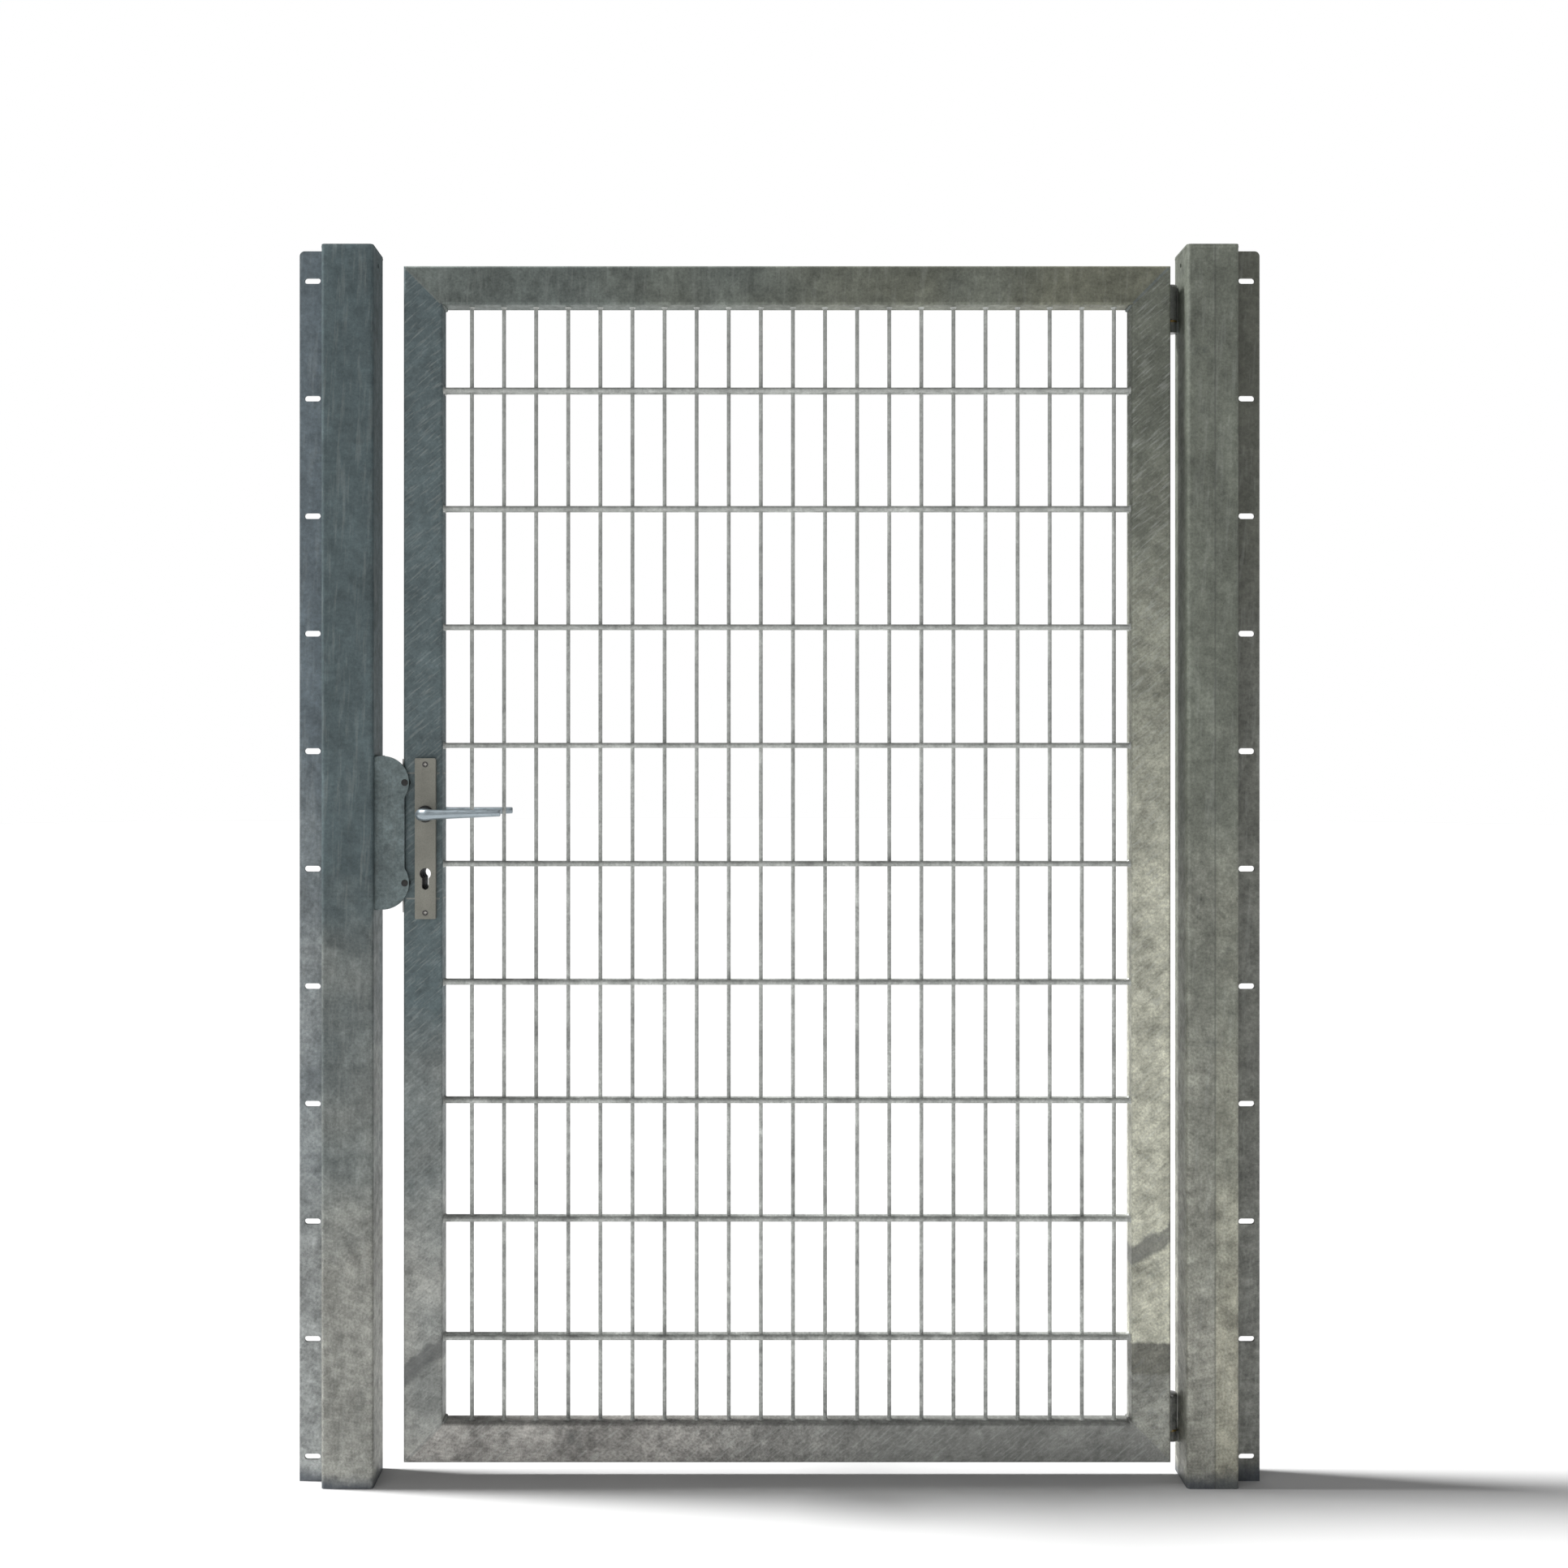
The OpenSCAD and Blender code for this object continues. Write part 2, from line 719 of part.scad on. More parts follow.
module handle_plate() {
    inner_w = plate_w - 2 * plate_skin;
    inner_h = plate_h - 2 * plate_skin;
    color(alu) difference() {
        translate([0, -face, 0]) rotate([90, 0, 0])
            linear_extrude(plate_t) plate_outline(plate_w, plate_h, 2);
        difference() {
            translate([0, -face + eps, 0]) rotate([90, 0, 0])
                linear_extrude(plate_t - plate_skin + eps) plate_outline(inner_w, inner_h, 1);
            for (z = screw_z) translate([lock_x, 0, z]) drill_y(6, -plate_front, -face - base_t);
        }
        translate([lock_x, 0, spindle_z]) drill_y(bush_sleeve_r + run, -plate_front - eps, -face);
        key_cut(0.2, -plate_front - eps, -face);
        for (z = screw_z) translate([lock_x, 0, z]) {
            drill_y(screw_r + run, -plate_front - eps, -face);
            translate([0, -plate_front - 0.01, 0]) rotate([-90, 0, 0])
                cylinder(h = sink_h + run, r1 = head_r, r2 = screw_r + run);
        }
    }
}

module base_plate() {
    inner_w = plate_w - 2 * plate_skin - 2 * run;
    inner_h = plate_h - 2 * plate_skin - 2 * run;
    color(dark_steel) difference() {
        translate([0, -face, 0]) rotate([90, 0, 0])
            linear_extrude(base_t) plate_outline(inner_w, inner_h, 0.9);
        translate([lock_x, 0, spindle_z]) drill_y(neck_r, -plate_front, -face + eps);
        key_cut(0.6, -plate_front, -face + eps);
        for (z = screw_z) translate([lock_x, 0, z]) drill_y(stud_r + run, -plate_front, -face + eps);
    }
}

module front_handle_plate() { handle_plate(); }
module rear_handle_plate() { mirror([0, 1, 0]) handle_plate(); }
module front_base_plate() { base_plate(); }
module rear_base_plate() { mirror([0, 1, 0]) base_plate(); }

module cross_recess() {
    for (a = [0, 90]) rotate([0, a, 0]) translate([-2.4, -1, -0.5]) cube([4.8, 2.4, 1]);
}

// Countersunk screws come from the front and turn into sleeves from the rear
module handle_plate_screws() {
    color(bright_zinc) for (z = screw_z) translate([lock_x, 0, z]) difference() {
        union() {
            drill_y(screw_r, -plate_front + 1, 14);
            translate([0, -plate_front, 0]) rotate([-90, 0, 0])
                cylinder(h = sink_h, r1 = head_r - run, r2 = screw_r);
        }
        translate([0, -plate_front, 0]) cross_recess();
    }
}

module handle_plate_sleeves() {
    color(bright_zinc) for (z = screw_z) translate([lock_x, 0, z]) difference() {
        union() {
            drill_y(screw_r + 0.05, face, plate_front - 1);
            drill_y(stud_r, -12, face + base_t);
            translate([0, plate_front, 0]) rotate([90, 0, 0])
                cylinder(h = sink_h, r1 = head_r - run, r2 = screw_r);
        }
        drill_y(screw_r + 0.02, -13, 15);
        translate([0, plate_front, 0]) mirror([0, 1, 0]) cross_recess();
    }
}

module lever_bush() {
    color(rubber) translate([lock_x, 0, spindle_z]) difference() {
        union() {
            drill_y(bush_flange_r, -plate_front - bush_flange_t, -plate_front);
            drill_y(bush_sleeve_r, -plate_front - bush_flange_t, -face - base_t);
        }
        drill_y(neck_r + run, -plate_front - 2 * bush_flange_t, -face);
    }
}

module front_lever_bush() { lever_bush(); }
module rear_lever_bush() { mirror([0, 1, 0]) lever_bush(); }

// The neck is turned with a domed end; the grip tapers and keeps a level top edge
module lever() {
    grip_y = -plate_front - lever_out;
    grip_run = lever_len - tip_r;
    rise = atan((grip_r - tip_r) / grip_run);
    neck_start = plate_front + bush_flange_t + neck_gap;
    color(alu) difference() {
        translate([lock_x, 0, spindle_z]) {
            rotate([90, 0, 0]) rotate_extrude()
                polygon([[0, face + base_t + neck_gap], [neck_r, face + base_t + neck_gap],
                         [neck_r, neck_start], [neck_flare, neck_start],
                         [elbow_r, elbow_r / 2 - grip_y], [elbow_r / 2, elbow_r - grip_y],
                         [0, elbow_r - grip_y]]);
            translate([0, grip_y, 0]) rotate([0, 90 - rise, 0]) rotate_extrude()
                polygon([[0, 0], [grip_r, 0], [tip_r, grip_run],
                         [tip_r / 2, grip_run + tip_r / 2], [0, grip_run + tip_r / 2]]);
        }
        spindle_socket();
        translate([lock_x, 0, spindle_z]) grub_place() cylinder(h = 2 * elbow_r, r = screw_r + 0.02);
    }
}

module spindle_socket() {
    side = spindle_s + 2 * run;
    translate([lock_x - side / 2, -plate_front - lever_out / 2, spindle_z - side / 2])
        cube([side, lever_out, side]);
}

// The grub screw stands in the underside of the neck
module grub_place() {
    translate([0, -plate_front - grub_in, -spindle_s / 2 - run - 12]) children();
}

module front_lever() { lever(); }
module rear_lever() { mirror([0, 1, 0]) lever(); }

module lever_grub_screws() {
    color(dark_steel) for (m = [0, 1]) mirror([0, m, 0])
        translate([lock_x, -plate_front - grub_in, spindle_z - spindle_s / 2 - grub_len])
            cylinder(h = grub_len, r = screw_r);
}

module lever_spindle() {
    half = plate_front + lever_out / 2 - 1;
    color(dark_steel) translate([lock_x - spindle_s / 2, -half, spindle_z - spindle_s / 2])
        cube([spindle_s, 2 * half, spindle_s]);
}

latch_post();
hinge_post();
latch_post_cap();
hinge_post_cap();
latch_fixing_strip();
hinge_fixing_strip();
latch_strip_welds();
hinge_strip_welds();
stop_bracket();
strike_box();
stop_bracket_bolts();
rubber_buffers();
upper_hinge_lug();
lower_hinge_lug();
upper_hinge_pin();
lower_hinge_pin();
hinge_washers();
top_rail();
bottom_rail();
lower_latch_stile();
lock_box();
upper_latch_stile();
hinge_stile();
mat_upright_rods();
mat_front_rods();
mat_rear_rods();
upper_knuckle();
lower_knuckle();
hinge_bushes();
lock_forend();
forend_screws();
lock_case();
lock_cover();
front_handle_plate();
rear_handle_plate();
front_base_plate();
rear_base_plate();
handle_plate_screws();
handle_plate_sleeves();
front_lever_bush();
rear_lever_bush();
front_lever();
rear_lever();
lever_grub_screws();
lever_spindle();
lock_follower();
latch_bolt();
latch_spring();
dead_bolt();
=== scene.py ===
"""Looks of the galvanised garden gate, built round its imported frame."""
import json
import math
import random

import bmesh
import bpy
from mathutils import Matrix, Vector

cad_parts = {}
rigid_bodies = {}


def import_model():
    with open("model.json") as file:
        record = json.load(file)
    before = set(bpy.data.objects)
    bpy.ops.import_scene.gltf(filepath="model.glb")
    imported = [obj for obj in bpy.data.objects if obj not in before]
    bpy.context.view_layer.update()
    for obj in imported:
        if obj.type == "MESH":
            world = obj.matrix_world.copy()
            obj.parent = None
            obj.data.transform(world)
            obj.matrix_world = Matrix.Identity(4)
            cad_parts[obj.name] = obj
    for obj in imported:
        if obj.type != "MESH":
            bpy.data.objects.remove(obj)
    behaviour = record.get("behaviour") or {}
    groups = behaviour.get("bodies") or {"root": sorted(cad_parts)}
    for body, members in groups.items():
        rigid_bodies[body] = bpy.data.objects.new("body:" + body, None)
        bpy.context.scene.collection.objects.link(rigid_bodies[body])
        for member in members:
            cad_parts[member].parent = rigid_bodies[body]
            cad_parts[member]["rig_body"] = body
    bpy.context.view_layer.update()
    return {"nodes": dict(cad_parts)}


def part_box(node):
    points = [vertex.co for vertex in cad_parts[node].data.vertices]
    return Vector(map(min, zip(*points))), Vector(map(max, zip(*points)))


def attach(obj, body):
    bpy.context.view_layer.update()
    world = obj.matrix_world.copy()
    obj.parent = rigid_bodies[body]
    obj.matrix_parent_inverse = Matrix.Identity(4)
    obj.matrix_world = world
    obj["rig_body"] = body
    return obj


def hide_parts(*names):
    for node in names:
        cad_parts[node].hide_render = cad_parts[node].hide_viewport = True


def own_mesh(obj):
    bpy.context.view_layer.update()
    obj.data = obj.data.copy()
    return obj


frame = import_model()
nodes = frame["nodes"]
MM = 0.001


# ---- Posts ----
# Two square steel tubes, each closed by a welded plate cap with a vent hole under it.
# They are dipped whole in molten zinc, which dries in soft clouds of grey, cooler and darker
# at the top and lighter towards the foot: partly weathering, partly painted light from the ground below.

def new_material(name):
    """A material with its own node tree, and the shader in it."""
    material = bpy.data.materials.new(name)
    material.use_nodes = True
    return material, material.node_tree, material.node_tree.nodes["Principled BSDF"]


def feed(tree, socket, value):
    """Links another socket into this one, or sets it."""
    if isinstance(value, bpy.types.NodeSocket):
        tree.links.new(value, socket)
    else:
        socket.default_value = value


def add(tree, kind, sockets=None, **settings):
    """A shader node of that kind with its settings and sockets filled in."""
    made = tree.nodes.new("ShaderNode" + kind)
    for key, value in settings.items():
        setattr(made, key, value)
    for key, value in (sockets or {}).items():
        feed(tree, made.inputs[key], value)
    return made


def place_of(tree):
    """Where a point lies on the gate, in metres."""
    return add(tree, "TexCoord").outputs["Object"]


def noise(tree, at, scale, detail, roughness=0.5):
    """Soft cloudy noise from 0 to 1, with scale clouds to a metre."""
    sockets = {"Vector": at, "Scale": scale, "Detail": detail, "Roughness": roughness}
    return add(tree, "TexNoise", sockets).outputs[0]


def spread(tree, value, low, high, to_low=0.0, to_high=1.0):
    """Value carried from low..high to to_low..to_high, and held there."""
    sockets = {0: value, 1: low, 2: high, 3: to_low, 4: to_high}
    return add(tree, "MapRange", sockets).outputs[0]


def calc(tree, operation, first, second=0.0):
    """One sum on two numbers."""
    return add(tree, "Math", {0: first, 1: second}, operation=operation).outputs[0]


def blend_colour(tree, share, first, second, how="MIX"):
    """The first colour going over to the second as share goes from 0 to 1."""
    sockets = {0: share, 6: first, 7: second}
    return add(tree, "Mix", sockets, data_type="RGBA", blend_type=how).outputs[2]


def grey_of(tree, value, low, high, dark, light):
    """Value carried to a grey between dark and light, as a colour."""
    grey = spread(tree, value, low, high, dark, light)
    return add(tree, "CombineColor", {0: grey, 1: grey, 2: grey}).outputs[0]


def stretched(tree, at, scale, lean=0.0):
    """The same place on a grid that leans right by that many degrees, for drawn or run marks."""
    sockets = {"Vector": at, "Scale": [1 / s for s in scale], "Rotation": (0.0, math.radians(lean), 0.0)}
    return add(tree, "Mapping", sockets, vector_type="TEXTURE").outputs[0]


def ripple(tree, shader, height, depth, strength, under=None):
    """Fine relief on the shader's surface, depth metres deep."""
    sockets = {"Height": height, "Distance": depth, "Strength": strength}
    if under is not None:
        sockets["Normal"] = under
    bump = add(tree, "Bump", sockets).outputs[0]
    tree.links.new(bump, shader.inputs["Normal"])
    return bump


def galvanised(name, top, foot, turns=(0.3, 1.7), streaks=0.12, spangle=0.06, slope=3, dark_band=None,
               seam=None, cloudy=(1.0, 1.7), axis=2, marks=(150.0, 60.0, 14.0), darker_below=None):
    """Hot-dip zinc, from its colour at the top of the gate to its colour near the ground.

    turns are the heights between which one goes over into the other, or the places
    along X when axis is 0. cloudy is how blotched each of the two is. streaks is how
    strongly the runs show, slope their lean in degrees from upright, and marks how many
    there are to a metre each way. spangle is how far the crystals differ. dark_band is the
    place of a slanting dark band, as (x, z), seam the x where a tube was closed, with paler zinc
    to its right, and darker_below the height below which the zinc is darker and greyer.
    """
    material, tree, shader = new_material(name)
    at = place_of(tree)
    across, _, height = add(tree, "SeparateXYZ", {0: at}).outputs
    cloud = noise(tree, at, 5.0, 3.0)
    drift = calc(tree, "ADD", (across, None, height)[axis], spread(tree, cloud, 0.3, 0.7, -0.2, 0.2))

    # clouds of three sizes, deeper in the newer zinc near the foot
    patches = noise(tree, at, 14.0, 5.0, 0.6)
    mottle = noise(tree, at, 62.0, 5.0, 0.66)
    specks = noise(tree, at, 250.0, 3.0, 0.7)
    blotched = []
    for colour, depth in ((foot, cloudy[1]), (top, cloudy[0])):
        colour = (*colour, 1.0)
        for pattern, swing in ((patches, 0.17), (mottle, 0.16), (specks, 0.15)):
            shade = grey_of(tree, pattern, 0.32, 0.68, 1 - swing * depth, 1 + swing * depth)
            colour = blend_colour(tree, 1.0, colour, shade, "MULTIPLY")
        blotched.append(colour)
    # foot colour going over into top colour (along X when axis is 0); a lighter foot is partly painted light
    # from the ground below
    base = blend_colour(tree, spread(tree, drift, *turns), *blotched)

    # crystals of zinc, each a little lighter or darker than the next
    cells = add(tree, "TexVoronoi", {"Vector": at, "Scale": 165.0}).outputs["Color"]
    facet = add(tree, "SeparateColor", {0: cells}).outputs[0]
    base = blend_colour(tree, 1.0, base, grey_of(tree, facet, 0, 1, 1 - spangle, 1 + spangle), "MULTIPLY")

    # light and dark runs, old stains, and a dark bluish band at the very foot
    light_run, dark_run = (0.62, 0.65, 0.62, 1.0), (0.10, 0.105, 0.10, 1.0)
    runs = noise(tree, stretched(tree, at, marks, slope), 1.0, 4.0, 0.6)
    base = blend_colour(tree, spread(tree, runs, 0.52, 0.72, 0.0, streaks), base, light_run)
    base = blend_colour(tree, spread(tree, runs, 0.44, 0.26, 0.0, streaks), base, dark_run)
    stain = spread(tree, noise(tree, at, 17.0, 6.0, 0.7), 0.62, 0.74, 0.0, 0.4)
    base = blend_colour(tree, stain, base, (0.075, 0.085, 0.085, 1.0))
    foot_level = calc(tree, "ADD", height, spread(tree, patches, 0.3, 0.7, -0.012, 0.012))
    foot_dark = spread(tree, foot_level, 0.004, 0.028, 0.75, 0.0)
    base = blend_colour(tree, foot_dark, base, (0.07, 0.085, 0.11, 1.0))

    # a slanting dark band across the stile at that place
    if dark_band is not None:
        rise = calc(tree, "MULTIPLY", calc(tree, "SUBTRACT", across, dark_band[0]), 0.8)
        level = calc(tree, "SUBTRACT", calc(tree, "SUBTRACT", height, dark_band[1]), rise)
        level = calc(tree, "ADD", level, spread(tree, patches, 0.3, 0.7, -0.012, 0.012))
        mark = spread(tree, calc(tree, "ABSOLUTE", level), 0.013, 0.020, 0.65, 0.0)
        base = blend_colour(tree, mark, base, (0.115, 0.120, 0.120, 1.0))
    # darker and greyer below that height, darkest in a band just above it
    if darker_below is not None:
        edge = calc(tree, "ADD", height, spread(tree, patches, 0.3, 0.7, -0.006, 0.006))
        below = spread(tree, edge, darker_below + 0.048, darker_below + 0.052, 1.0, 0.0)
        base = blend_colour(tree, below, base, (0.57, 0.58, 0.63, 1.0), "MULTIPLY")
        band = calc(tree, "MULTIPLY", below, spread(tree, edge, darker_below - 0.003, darker_below + 0.003))
        base = blend_colour(tree, band, base, (0.66, 0.65, 0.62, 1.0), "MULTIPLY")
    if seam is not None:
        beside = spread(tree, across, seam - 0.002, seam + 0.002)
        pale = calc(tree, "MULTIPLY", beside, spread(tree, drift, 0.9, 0.3, 0.0, 1.0))
        base = blend_colour(tree, pale, base, (1.22, 1.20, 1.12, 1.0), "MULTIPLY")
        off = calc(tree, "ABSOLUTE", calc(tree, "SUBTRACT", across, seam))
        line = spread(tree, off, 0.0006, 0.0018, 0.45, 0.0)
        base = blend_colour(tree, line, base, (0.09, 0.095, 0.085, 1.0))

    feed(tree, shader.inputs["Base Color"], base)
    feed(tree, shader.inputs["Roughness"], spread(tree, mottle, 0.3, 0.7, 0.62, 0.46))
    shader.inputs["Metallic"].default_value = 0.35
    drips = noise(tree, stretched(tree, at, (70.0, 70.0, 16.0)), 1.0, 3.0)
    relief = ripple(tree, shader, drips, 0.0011, 0.35)
    ripple(tree, shader, noise(tree, at, 420.0, 2.0), 0.00022, 0.5, relief)
    return material


def finish_node(material, *names):
    """Gives CAD nodes their finish."""
    for name in names:
        mesh = nodes[name].data
        mesh.materials.clear()
        mesh.materials.append(material)


def piece(name, bm, material, body, replaced=(), crease=30):
    """A finished piece of the gate from its bmesh, smooth up to the crease angle."""
    mesh = bpy.data.meshes.new(name)
    bm.to_mesh(mesh)
    bm.free()
    mesh.materials.append(material)
    for face in mesh.polygons:
        face.use_smooth = True
    mesh.set_sharp_from_angle(angle=math.radians(crease))
    made = bpy.data.objects.new(name, mesh)
    bpy.context.scene.collection.objects.link(made)
    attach(made, body)
    if replaced:
        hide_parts(*replaced)
    return made


def ridge(bm, start, end, half_width, proud, out):
    """A weld ground nearly flush: a long low rib from start to end, standing proud along out."""
    start, end, out = Vector(start), Vector(end), Vector(out).normalized()
    along = end - start
    side = out.cross(along).normalized()
    turn = Matrix((side, out, along.normalized())).transposed().to_4x4()
    turn.translation = (start + end) / 2
    flat = Matrix.Diagonal((half_width, proud, along.length / 2, 1.0))
    rib = bmesh.ops.create_cone(bm, cap_ends=True, segments=12, radius1=1.0, radius2=1.0,
                                depth=2.0, matrix=turn @ flat)
    caps = [f for f in {f for v in rib["verts"] for f in v.link_faces} if len(f.verts) > 4]
    bmesh.ops.bevel(bm, geom=list({e for f in caps for e in f.edges}), offset=0.6 * proud,
                    affect="EDGES", segments=1, profile=0.5, material=-1, clamp_overlap=True)


latch_post_zinc = galvanised("latch_post_zinc", (0.096, 0.131, 0.139), (0.299, 0.302, 0.275),
                             (0.35, 0.95))
hinge_seam_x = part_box("hinge_post")[0].x + 43 * MM
hinge_post_zinc = galvanised("hinge_post_zinc", (0.178, 0.193, 0.160), (0.317, 0.317, 0.275), (0.2, 1.1),
                             seam=hinge_seam_x, cloudy=(1.4, 1.9))
finish_node(latch_post_zinc, "latch_post", "latch_post_cap")
finish_node(hinge_post_zinc, "hinge_post", "hinge_post_cap")

for side, material in (("latch", latch_post_zinc), ("hinge", hinge_post_zinc)):
    low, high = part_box(f"{side}_post_cap")
    bm = bmesh.new()
    seam_height, seam_inset = low.z - 0.4 * MM, 5 * MM
    seam_half_width, seam_proud = 1.7 * MM, 0.35 * MM
    for across in (0, 1):
        for face_at, facing in ((low[across], -1), (high[across], 1)):
            other = 1 - across
            start = Vector((0, 0, seam_height))
            start[across] = face_at
            end = start.copy()
            start[other] = low[other] + seam_inset
            end[other] = high[other] - seam_inset
            out = Vector((0, 0, 0))
            out[across] = facing
            ridge(bm, start, end, seam_half_width, seam_proud, out)
    piece(f"{side}_post_cap_seam", bm, material, "posts")


# ---- Fixing strips ----
# Flat bars with a row of slots for the fence bolts, stood on edge against the outside
# of each post and stitch-welded behind, between the slots, before galvanising.

def eased(node, width, material, segments=2, crease=12):
    """A copy of a CAD node with its sharp edges rounded over, as filed or dipped steel has."""
    bm = bmesh.new()
    bm.from_mesh(nodes[node].data)
    bmesh.ops.remove_doubles(bm, verts=bm.verts, dist=0.002 * MM)
    bmesh.ops.dissolve_limit(bm, angle_limit=math.radians(0.6), use_dissolve_boundaries=False,
                             verts=bm.verts, edges=bm.edges)
    if width > 0:
        sharp = [e for e in bm.edges if len(e.link_faces) == 2 and e.calc_face_angle(0) > math.radians(40)]
        bmesh.ops.bevel(bm, geom=sharp, offset=width, affect="EDGES", segments=segments, profile=0.5,
                        material=-1, clamp_overlap=True)
    return piece(f"{node}_eased", bm, material, nodes[node]["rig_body"], [node], crease)


def bead(bm, start, end, radius, pitch):
    """A run of overlapping weld ripples from start to end, a little flattened along it."""
    start, end = Vector(start), Vector(end)
    run = end - start
    steps = max(2, round(run.length / pitch))
    turn = run.to_track_quat("Z", "Y").to_matrix().to_4x4()
    for i in range(steps + 1):
        swell = 1 - 0.25 * (abs(2 * i / steps - 1) ** 6) + 0.06 * math.sin(2.3 * i)
        shape = Matrix.Diagonal((radius * swell, radius * swell, radius * 0.75, 1.0))
        where = Matrix.Translation(start + run * i / steps)
        bmesh.ops.create_uvsphere(bm, u_segments=10, v_segments=6, radius=1.0,
                                  matrix=where @ turn @ shape)


latch_strip_zinc = galvanised("latch_strip_zinc", (0.150, 0.187, 0.210), (0.357, 0.375, 0.370),
                              (0.3, 1.2))
hinge_strip_zinc = galvanised("hinge_strip_zinc", (0.125, 0.130, 0.108), (0.184, 0.189, 0.171))
weld_zinc = galvanised("weld_zinc", (0.160, 0.180, 0.170), (0.270, 0.275, 0.260), spangle=0.03)

weld_count, weld_length, weld_end = 10, 40 * MM, 2 * MM
weld_radius, ripple_pitch = 3.0 * MM, 2.4 * MM
for side, material in (("latch", latch_strip_zinc), ("hinge", hinge_strip_zinc)):
    eased(f"{side}_fixing_strip", 0.5 * MM, material)
    low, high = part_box(f"{side}_strip_welds")
    corner_x = high.x if side == "latch" else low.x
    outward = -1 if side == "latch" else 1
    pitch = (high.z - low.z - weld_length) / (weld_count - 1)
    bm = bmesh.new()
    for i in range(weld_count):
        foot = Vector((corner_x + outward * 1 * MM, low.y + 1 * MM, low.z + i * pitch + weld_end))
        bead(bm, foot, foot + Vector((0, 0, weld_length - 2 * weld_end)), weld_radius, ripple_pitch)
    piece(f"{side}_strip_weld_beads", bm, weld_zinc, "posts",
          [f"{side}_strip_welds"])


# ---- Keep on the latch post ----
# A folded bracket whose two round lobes carry push-in rubber buffers, and behind it a
# folded strike box for the latch and dead bolt. Four hexagon bolts hold both to the post.

def tone(grey, warmth=0.0):
    """A grey of that reflectance. Positive warmth leans to straw, negative to slate blue."""
    return (grey * (1 + warmth), grey * (1 + 0.25 * warmth), grey * (1 - warmth), 1.0)


def zinc_plated(name, grey, tint=0.0, roughness=0.36):
    """Thin bright electro zinc, slightly cloudy, with fine rolling lines."""
    material, tree, shader = new_material(name)
    at = place_of(tree)
    haze = noise(tree, at, 60.0, 4.0)
    lines = noise(tree, stretched(tree, at, (900.0, 900.0, 40.0)), 1.0, 2.0)
    dull, bright = tone(grey * 0.82, tint), tone(grey * 1.1, tint)
    base = blend_colour(tree, spread(tree, haze, 0.3, 0.7), dull, bright)
    base = blend_colour(tree, 1.0, base, grey_of(tree, lines, 0.3, 0.7, 0.93, 1.06), "MULTIPLY")
    feed(tree, shader.inputs["Base Color"], base)
    feed(tree, shader.inputs["Roughness"], spread(tree, haze, 0.3, 0.7, roughness, roughness + 0.14))
    shader.inputs["Metallic"].default_value = 0.85
    ripple(tree, shader, lines, 0.00008, 0.5)
    return material


def dull_black(name, grey, roughness, grain_scale):
    """Rubber or moulded plastic, dusty in its pores."""
    material, tree, shader = new_material(name)
    at = place_of(tree)
    dust = noise(tree, at, 140.0, 4.0, 0.6)
    base = blend_colour(tree, spread(tree, dust, 0.45, 0.8), tone(grey), tone(grey * 2.6, 0.05))
    feed(tree, shader.inputs["Base Color"], base)
    feed(tree, shader.inputs["Roughness"], spread(tree, dust, 0.3, 0.7, roughness, roughness + 0.15))
    ripple(tree, shader, noise(tree, at, grain_scale, 2.0), 0.0001, 0.4)
    return material


def turned(bm, outline, centre, axis):
    """Turns an outline of (radius, height) pairs into a closed solid on an axis."""
    turn = Vector(axis).to_track_quat("Z", "Y").to_matrix()
    spots = [Vector(centre) + turn @ Vector((r, 0, h)) for r, h in outline]
    verts = [bm.verts.new(p) for p in spots]
    edges = [bm.edges.new(pair) for pair in zip(verts, verts[1:])]
    bmesh.ops.spin(bm, geom=verts + edges, cent=centre, axis=turn @ Vector((0, 0, 1)), dvec=(0, 0, 0),
                   angle=math.tau, steps=32, use_merge=True)
    bmesh.ops.remove_doubles(bm, verts=bm.verts, dist=0.001 * MM)
    bmesh.ops.recalc_face_normals(bm, faces=bm.faces)


bracket_zinc = galvanised("bracket_zinc", (0.138, 0.174, 0.177), (0.138, 0.174, 0.177), streaks=0.06,
                          cloudy=(1.4, 1.4))
strike_zinc = zinc_plated("strike_zinc", 0.50)
bolt_zinc = zinc_plated("bolt_zinc", 0.42, 0.03, 0.3)
buffer_rubber = dull_black("buffer_rubber", 0.018, 0.6, 500.0)
eased("stop_bracket", 0.5 * MM, bracket_zinc)
eased("strike_box", 0.3 * MM, strike_zinc)
eased("stop_bracket_bolts", 0.35 * MM, bolt_zinc)

low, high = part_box("rubber_buffers")
bracket_low, bracket_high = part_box("stop_bracket")
bm = bmesh.new()
head_radius, stem_radius, barb_radius = 7.5 * MM, 4.75 * MM, 5.3 * MM
centre_x = (low.x + high.x) / 2
for centre_z in (low.z + head_radius, high.z - head_radius):
    outline = [(0, high.y), (5.4 * MM, high.y - 0.1 * MM), (6.9 * MM, high.y - 0.9 * MM),
               (head_radius, high.y - 2.0 * MM), (head_radius, bracket_high.y + 0.3 * MM),
               (stem_radius, bracket_high.y), (stem_radius, bracket_low.y),
               (barb_radius, bracket_low.y - 0.15 * MM), (4.6 * MM, low.y + 0.05 * MM), (0, low.y)]
    turned(bm, outline, (centre_x, 0, centre_z), (0, 1, 0))
piece("rubber_buffers_moulded", bm, buffer_rubber, "posts", ["rubber_buffers"])


# ---- Hinges ----
# Two weld-on barrel hinges. A lug on the post and a longer knuckle on the leaf turn
# on a headed steel pin, with a brass washer between them and a brass bush in the knuckle.

